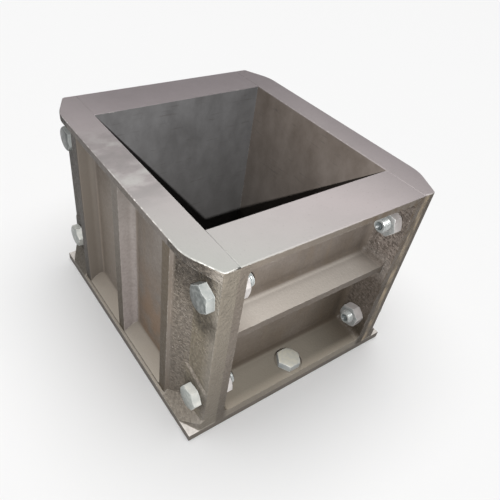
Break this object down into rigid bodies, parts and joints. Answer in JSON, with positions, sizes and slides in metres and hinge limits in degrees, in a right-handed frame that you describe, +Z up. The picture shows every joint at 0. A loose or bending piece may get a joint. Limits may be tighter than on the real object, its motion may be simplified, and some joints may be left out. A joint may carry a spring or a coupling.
{
  "type": "concrete cube mould",
  "caption": "Open-topped cast-iron mould for concrete test cubes, with ribbed side plates and channelled end plates bolted together on a flat base plate.",
  "frame": {"origin": "centre of the base plate's underside", "axes": "+X right along the front wall, +Y from front to back, +Z up out of the open top"},
  "size_m": [0.194, 0.22, 0.156],
  "materials": {
    "castings": "sand-cast grey iron with machined rims, oiled",
    "base_plate": "machined grey iron plate",
    "fasteners": "bright zinc-plated steel"
  },
  "bodies": {
    "base": {"base_plate": "base_plate"},
    "walls": {"front_plate": "castings", "back_plate": "castings"},
    "left_side": {"left_plate": "castings"},
    "right_side": {"right_plate": "castings"},
    "corner_bolt_left_front_lower": {"corner_bolt_left_front_lower": "fasteners"},
    "corner_nut_left_front_lower": {"corner_nut_left_front_lower": "fasteners"},
    "corner_bolt_left_front_upper": {"corner_bolt_left_front_upper": "fasteners"},
    "corner_nut_left_front_upper": {"corner_nut_left_front_upper": "fasteners"},
    "corner_bolt_left_back_lower": {"corner_bolt_left_back_lower": "fasteners"},
    "corner_nut_left_back_lower": {"corner_nut_left_back_lower": "fasteners"},
    "corner_bolt_left_back_upper": {"corner_bolt_left_back_upper": "fasteners"},
    "corner_nut_left_back_upper": {"corner_nut_left_back_upper": "fasteners"},
    "corner_bolt_right_front_lower": {"corner_bolt_right_front_lower": "fasteners"},
    "corner_nut_right_front_lower": {"corner_nut_right_front_lower": "fasteners"},
    "corner_bolt_right_front_upper": {"corner_bolt_right_front_upper": "fasteners"},
    "corner_nut_right_front_upper": {"corner_nut_right_front_upper": "fasteners"},
    "corner_bolt_right_back_lower": {"corner_bolt_right_back_lower": "fasteners"},
    "corner_nut_right_back_lower": {"corner_nut_right_back_lower": "fasteners"},
    "corner_bolt_right_back_upper": {"corner_bolt_right_back_upper": "fasteners"},
    "corner_nut_right_back_upper": {"corner_nut_right_back_upper": "fasteners"},
    "base_bolt_front": {"base_bolt_front": "fasteners"},
    "base_bolt_back": {"base_bolt_back": "fasteners"}
  },
  "joints": [
    {"name": "walls_lift", "type": "slide", "parent": "base", "child": "walls", "axis": [0, 0, 1], "range_m": [0, 0.05]},
    {"name": "left_side_draw", "type": "slide", "parent": "walls", "child": "left_side", "axis": [-1, 0, 0], "range_m": [0, 0.06]},
    {"name": "right_side_draw", "type": "slide", "parent": "walls", "child": "right_side", "axis": [1, 0, 0], "range_m": [0, 0.06]},
    {"name": "corner_bolt_left_front_lower_turn", "type": "hinge", "parent": "left_side", "child": "corner_bolt_left_front_lower", "pos_m": [-0.085, -0.0975, 0.034], "axis": [-1, 0, 0], "range_deg": [0, 2880]},
    {"name": "corner_nut_left_front_lower_run", "type": "slide", "parent": "walls", "child": "corner_nut_left_front_lower", "axis": [1, 0, 0], "range_m": [0, 0.012]},
    {"name": "corner_bolt_left_front_upper_turn", "type": "hinge", "parent": "left_side", "child": "corner_bolt_left_front_upper", "pos_m": [-0.085, -0.0975, 0.129], "axis": [-1, 0, 0], "range_deg": [0, 3240]},
    {"name": "corner_nut_left_front_upper_run", "type": "slide", "parent": "walls", "child": "corner_nut_left_front_upper", "axis": [1, 0, 0], "range_m": [0, 0.0135]},
    {"name": "corner_bolt_left_back_lower_turn", "type": "hinge", "parent": "left_side", "child": "corner_bolt_left_back_lower", "pos_m": [-0.085, 0.0975, 0.034], "axis": [-1, 0, 0], "range_deg": [0, 2880]},
    {"name": "corner_nut_left_back_lower_run", "type": "slide", "parent": "walls", "child": "corner_nut_left_back_lower", "axis": [1, 0, 0], "range_m": [0, 0.012]},
    {"name": "corner_bolt_left_back_upper_turn", "type": "hinge", "parent": "left_side", "child": "corner_bolt_left_back_upper", "pos_m": [-0.085, 0.0975, 0.129], "axis": [-1, 0, 0], "range_deg": [0, 3240]},
    {"name": "corner_nut_left_back_upper_run", "type": "slide", "parent": "walls", "child": "corner_nut_left_back_upper", "axis": [1, 0, 0], "range_m": [0, 0.0135]},
    {"name": "corner_bolt_right_front_lower_turn", "type": "hinge", "parent": "right_side", "child": "corner_bolt_right_front_lower", "pos_m": [0.085, -0.0975, 0.034], "axis": [1, 0, 0], "range_deg": [0, 2880]},
    {"name": "corner_nut_right_front_lower_run", "type": "slide", "parent": "walls", "child": "corner_nut_right_front_lower", "axis": [-1, 0, 0], "range_m": [0, 0.012]},
    {"name": "corner_bolt_right_front_upper_turn", "type": "hinge", "parent": "right_side", "child": "corner_bolt_right_front_upper", "pos_m": [0.085, -0.0975, 0.129], "axis": [1, 0, 0], "range_deg": [0, 3240]},
    {"name": "corner_nut_right_front_upper_run", "type": "slide", "parent": "walls", "child": "corner_nut_right_front_upper", "axis": [-1, 0, 0], "range_m": [0, 0.0135]},
    {"name": "corner_bolt_right_back_lower_turn", "type": "hinge", "parent": "right_side", "child": "corner_bolt_right_back_lower", "pos_m": [0.085, 0.0975, 0.034], "axis": [1, 0, 0], "range_deg": [0, 2880]},
    {"name": "corner_nut_right_back_lower_run", "type": "slide", "parent": "walls", "child": "corner_nut_right_back_lower", "axis": [-1, 0, 0], "range_m": [0, 0.012]},
    {"name": "corner_bolt_right_back_upper_turn", "type": "hinge", "parent": "right_side", "child": "corner_bolt_right_back_upper", "pos_m": [0.085, 0.0975, 0.129], "axis": [1, 0, 0], "range_deg": [0, 3240]},
    {"name": "corner_nut_right_back_upper_run", "type": "slide", "parent": "walls", "child": "corner_nut_right_back_upper", "axis": [-1, 0, 0], "range_m": [0, 0.0135]},
    {"name": "base_bolt_front_turn", "type": "hinge", "parent": "walls", "child": "base_bolt_front", "pos_m": [0, -0.0985, 0.0136], "axis": [0, 0, 1], "range_deg": [0, 1320]},
    {"name": "base_bolt_back_turn", "type": "hinge", "parent": "walls", "child": "base_bolt_back", "pos_m": [0, 0.0985, 0.0136], "axis": [0, 0, 1], "range_deg": [0, 1320]}
  ],
  "couplings": [
    {"joint": "corner_nut_left_front_lower_run", "follows": "corner_bolt_left_front_lower_turn", "m_per_rad": 0.00023873},
    {"joint": "corner_nut_left_front_upper_run", "follows": "corner_bolt_left_front_upper_turn", "m_per_rad": 0.00023873},
    {"joint": "corner_nut_left_back_lower_run", "follows": "corner_bolt_left_back_lower_turn", "m_per_rad": 0.00023873},
    {"joint": "corner_nut_left_back_upper_run", "follows": "corner_bolt_left_back_upper_turn", "m_per_rad": 0.00023873},
    {"joint": "corner_nut_right_front_lower_run", "follows": "corner_bolt_right_front_lower_turn", "m_per_rad": 0.00023873},
    {"joint": "corner_nut_right_front_upper_run", "follows": "corner_bolt_right_front_upper_turn", "m_per_rad": 0.00023873},
    {"joint": "corner_nut_right_back_lower_run", "follows": "corner_bolt_right_back_lower_turn", "m_per_rad": 0.00023873},
    {"joint": "corner_nut_right_back_upper_run", "follows": "corner_bolt_right_back_upper_turn", "m_per_rad": 0.00023873}
  ]
}
